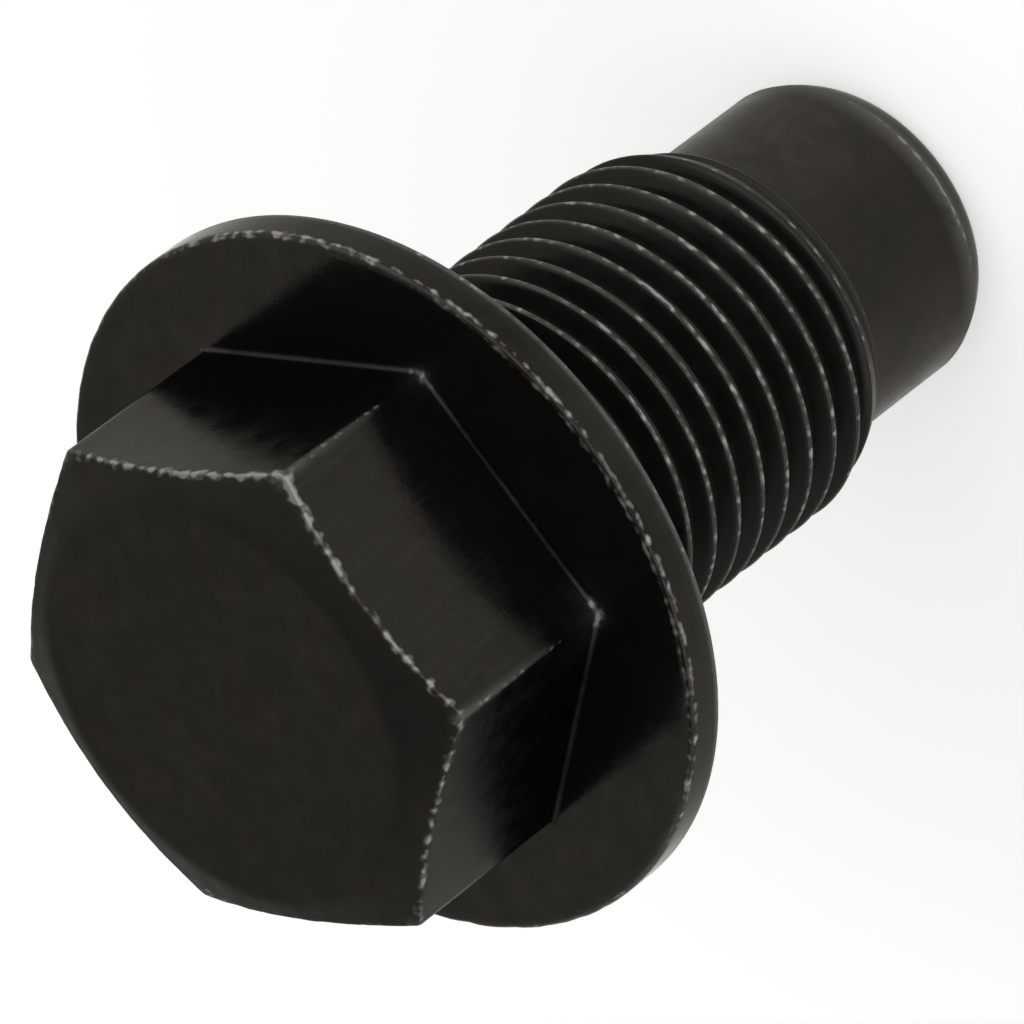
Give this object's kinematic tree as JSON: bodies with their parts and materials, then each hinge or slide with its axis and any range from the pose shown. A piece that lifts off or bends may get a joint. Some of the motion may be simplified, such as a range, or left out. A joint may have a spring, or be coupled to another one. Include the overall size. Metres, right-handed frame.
{
  "type": "oil drain plug",
  "caption": "Hexagon flange-head oil drain plug with a fine-pitch threaded shank and a long plain pilot, in blackened steel.",
  "frame": {"origin": "centre of the pilot's flat end face, which the plug stands on", "axes": "+Z along the plug's axis from the pilot to the head; +X through one corner of the hexagon"},
  "size_m": [0.0296, 0.0296, 0.0395],
  "materials": {
    "black_oxide_steel": "black oxide on steel with a dull gloss, worn to thin bright broken lines along the edges and thread crests"
  },
  "bodies": {
    "root": {"drain_plug": "black_oxide_steel"}
  },
  "joints": []
}
